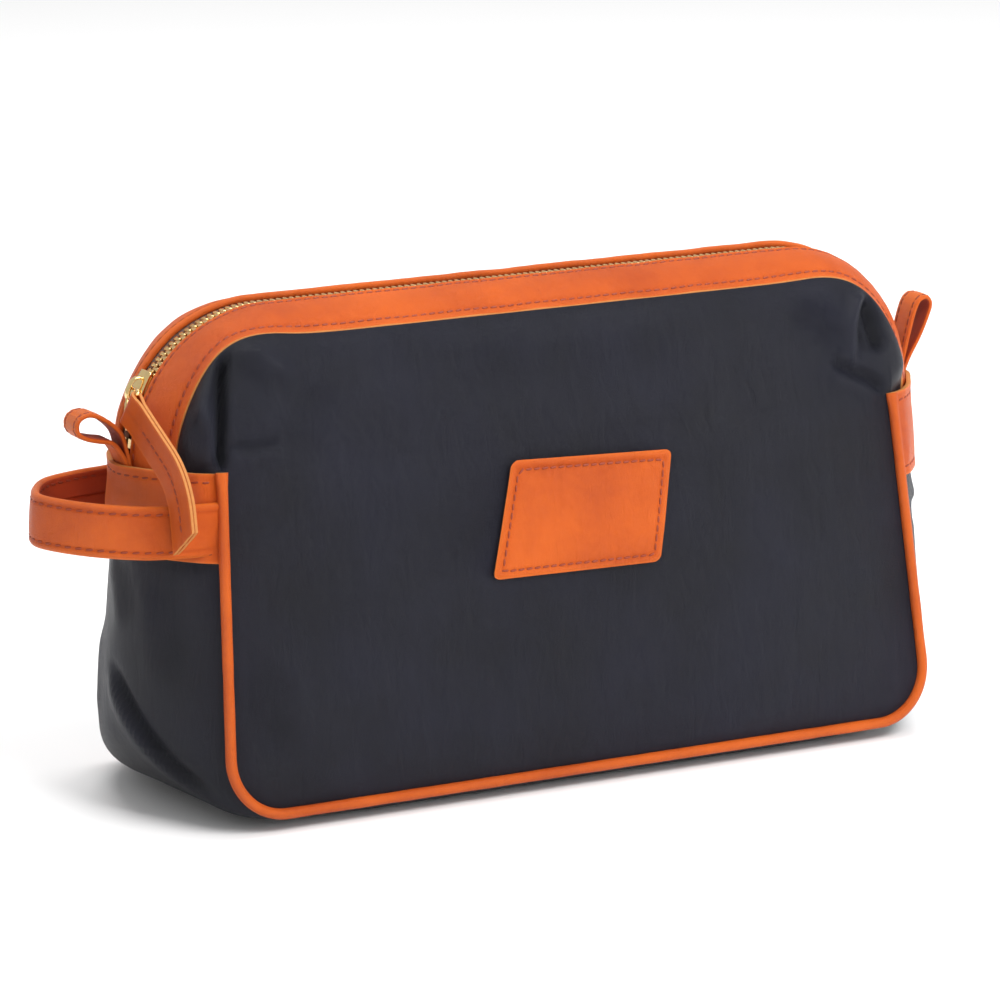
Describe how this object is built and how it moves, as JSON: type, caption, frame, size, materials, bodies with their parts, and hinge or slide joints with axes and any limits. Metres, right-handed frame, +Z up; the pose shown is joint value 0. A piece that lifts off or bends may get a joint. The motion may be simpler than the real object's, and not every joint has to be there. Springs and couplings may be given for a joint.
{
  "type": "shaving kit bag",
  "caption": "Zipped leather shaving kit bag with piped panels, a wrap-over zip band, a side strap handle, end loops and a blank patch.",
  "frame": {"origin": "centre of the base, on the surface the bag stands on", "axes": "+X to the right seen from the front, +Y towards the back, +Z up; the handle is on the -X end"},
  "size_m": [0.3466, 0.1056, 0.1691],
  "materials": {
    "navy_leather": "soft matt grain",
    "orange_leather": "smooth satin",
    "orange_piping": "smooth satin",
    "lining_cloth": "plain weave",
    "base_board": "matt",
    "piping_cord": "twisted",
    "zip_tape": "woven",
    "zip_brass": "bright",
    "slider_brass": "polished"
  },
  "bodies": {
    "bag": {"front_panel": "navy_leather", "back_panel": "navy_leather", "gusset": "navy_leather", "lining_front": "lining_cloth", "lining_back": "lining_cloth", "lining_gusset": "lining_cloth", "base_board": "base_board", "front_piping": "orange_piping", "back_piping": "orange_piping", "front_piping_cord": "piping_cord", "back_piping_cord": "piping_cord", "left_side_band": "orange_leather", "right_side_band": "orange_leather", "zip_band_front": "orange_leather", "zip_band_back": "orange_leather", "zip_tape_front": "zip_tape", "zip_tape_back": "zip_tape", "zip_teeth_front": "zip_brass", "zip_teeth_back": "zip_brass", "zip_top_stops": "zip_brass", "zip_bottom_stop": "zip_brass", "patch": "orange_leather"},
    "slider": {"slider_body": "slider_brass"},
    "link": {"pull_link": "slider_brass"},
    "tab": {"pull_tab": "orange_leather"},
    "handle": {"handle_strap": "orange_leather"},
    "left_loop": {"left_end_loop": "orange_leather"},
    "right_loop": {"right_end_loop": "orange_leather"}
  },
  "joints": [
    {"name": "zip_slide", "type": "hinge", "parent": "bag", "child": "slider", "pos_m": [-0.0995, 0, 0.119], "axis": [0, 1, 0], "range_deg": [0, 53]},
    {"name": "link_swing", "type": "hinge", "parent": "slider", "child": "link", "pos_m": [-0.14567, 0, 0.14314], "axis": [-0.0858, 0.5671, -0.8192], "range_deg": [0, 14]},
    {"name": "tab_swing", "type": "hinge", "parent": "link", "child": "tab", "pos_m": [-0.15057, -0.01, 0.13854], "axis": [-0.0858, 0.5671, -0.8192], "range_deg": [0, 50]},
    {"name": "handle_flex", "type": "hinge", "parent": "bag", "child": "handle", "pos_m": [-0.14046, 0, 0.101], "axis": [0, 1, 0], "range_deg": [-30, 1], "stiffness_Nm_per_rad": 0.05},
    {"name": "left_loop_flex", "type": "hinge", "parent": "bag", "child": "left_loop", "pos_m": [-0.1514, 0, 0.1209], "axis": [0, 1, 0], "range_deg": [-12, 12], "stiffness_Nm_per_rad": 0.01},
    {"name": "right_loop_flex", "type": "hinge", "parent": "bag", "child": "right_loop", "pos_m": [0.1514, 0, 0.1209], "axis": [0, 1, 0], "range_deg": [-12, 25], "stiffness_Nm_per_rad": 0.01}
  ]
}
